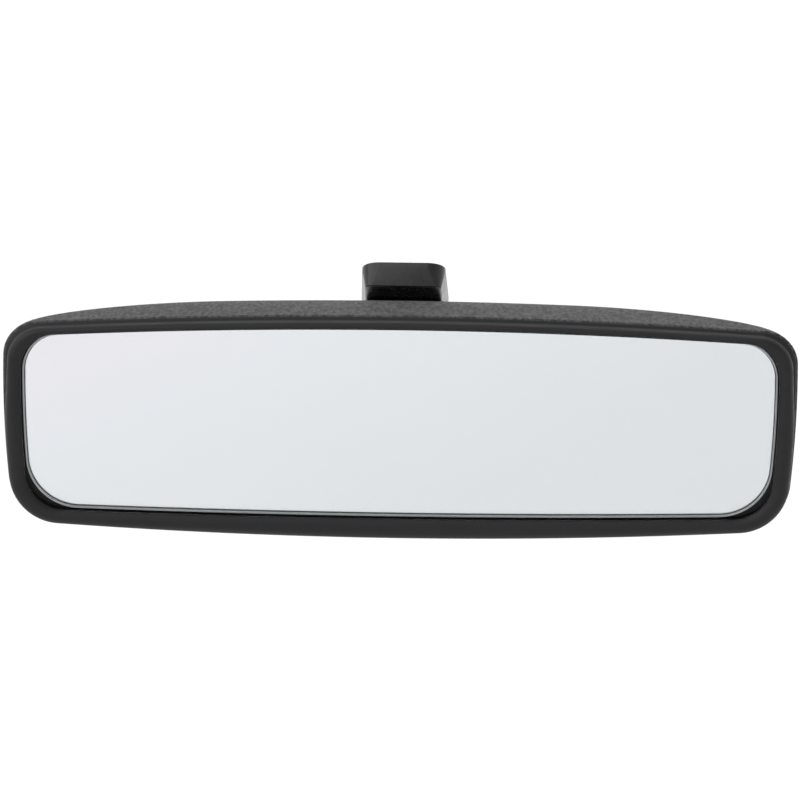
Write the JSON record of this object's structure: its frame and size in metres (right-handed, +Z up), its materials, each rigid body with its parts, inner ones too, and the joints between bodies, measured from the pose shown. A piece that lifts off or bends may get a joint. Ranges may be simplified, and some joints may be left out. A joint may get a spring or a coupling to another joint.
{
  "type": "interior rearview mirror",
  "caption": "Interior rearview mirror: wide glass in a bezel and domed shell, carried on a ball joint, a curved arm and a foot that slides over a windscreen button.",
  "frame": {"origin": "on the foot's windscreen seat, at the middle of the flat land above the button slot", "axes": "+Z up, +X to the right as the driver sees the mirror, +Y forward to the windscreen; the glass faces -Y and stands upright at rest"},
  "size_m": [0.21, 0.0766, 0.0663],
  "materials": {
    "textured_plastic": "black moulded plastic with a fine leather grain",
    "bezel_plastic": "black satin moulded plastic",
    "foot_plastic": "smooth black plastic with a soft gloss",
    "clear_glass": "polished glass with ground edges, silvered behind",
    "silvering": "bright reflective coating",
    "foam_tape": "off-white adhesive foam",
    "inner_plastic": "plain dark moulding",
    "nylon": "natural off-white nylon",
    "coated_zinc": "black coated die-cast zinc",
    "zinc_plated_steel": "zinc-plated steel, satin"
  },
  "bodies": {
    "mount": {"ball_stud": "coated_zinc", "arm": "foot_plastic", "foot_cover": "foot_plastic", "button_channel": "zinc_plated_steel", "mount_screw_left": "zinc_plated_steel", "mount_screw_right": "zinc_plated_steel"},
    "latch": {"lock_spring": "zinc_plated_steel"},
    "pan_ring": {"rear_liner": "nylon"},
    "tilt_cup": {"front_liner": "nylon"},
    "head": {"rear_housing": "textured_plastic", "front_bezel": "bezel_plastic", "mirror_glass": "clear_glass", "mirror_coating": "silvering", "foam_tape_left": "foam_tape", "foam_tape_right": "foam_tape", "backing_plate": "inner_plastic", "socket_bracket": "inner_plastic", "pressure_cap": "inner_plastic", "clamp_spring": "zinc_plated_steel", "clamp_plate": "zinc_plated_steel", "bracket_screw_1": "zinc_plated_steel", "bracket_screw_2": "zinc_plated_steel", "bracket_screw_3": "zinc_plated_steel", "bracket_screw_4": "zinc_plated_steel", "clamp_screw_1": "zinc_plated_steel", "clamp_screw_2": "zinc_plated_steel", "neck_collar": "bezel_plastic"}
  },
  "joints": [
    {"name": "lock_spring_bend", "type": "hinge", "parent": "mount", "child": "latch", "pos_m": [0, 0.01236, -0.0138], "axis": [1, 0, 0], "range_deg": [0, 5], "stiffness_Nm_per_rad": 0.05, "springref_deg": -1.15},
    {"name": "head_pan", "type": "hinge", "parent": "mount", "child": "pan_ring", "pos_m": [0, -0.02476, -0.0349], "axis": [0, 0, 1], "range_deg": [-20, 20]},
    {"name": "head_tilt", "type": "hinge", "parent": "pan_ring", "child": "tilt_cup", "pos_m": [0, -0.02476, -0.0349], "axis": [1, 0, 0], "range_deg": [-13, 15]},
    {"name": "head_roll", "type": "hinge", "parent": "tilt_cup", "child": "head", "pos_m": [0, -0.02476, -0.0349], "axis": [0, 1, 0], "range_deg": [-12, 12]}
  ]
}
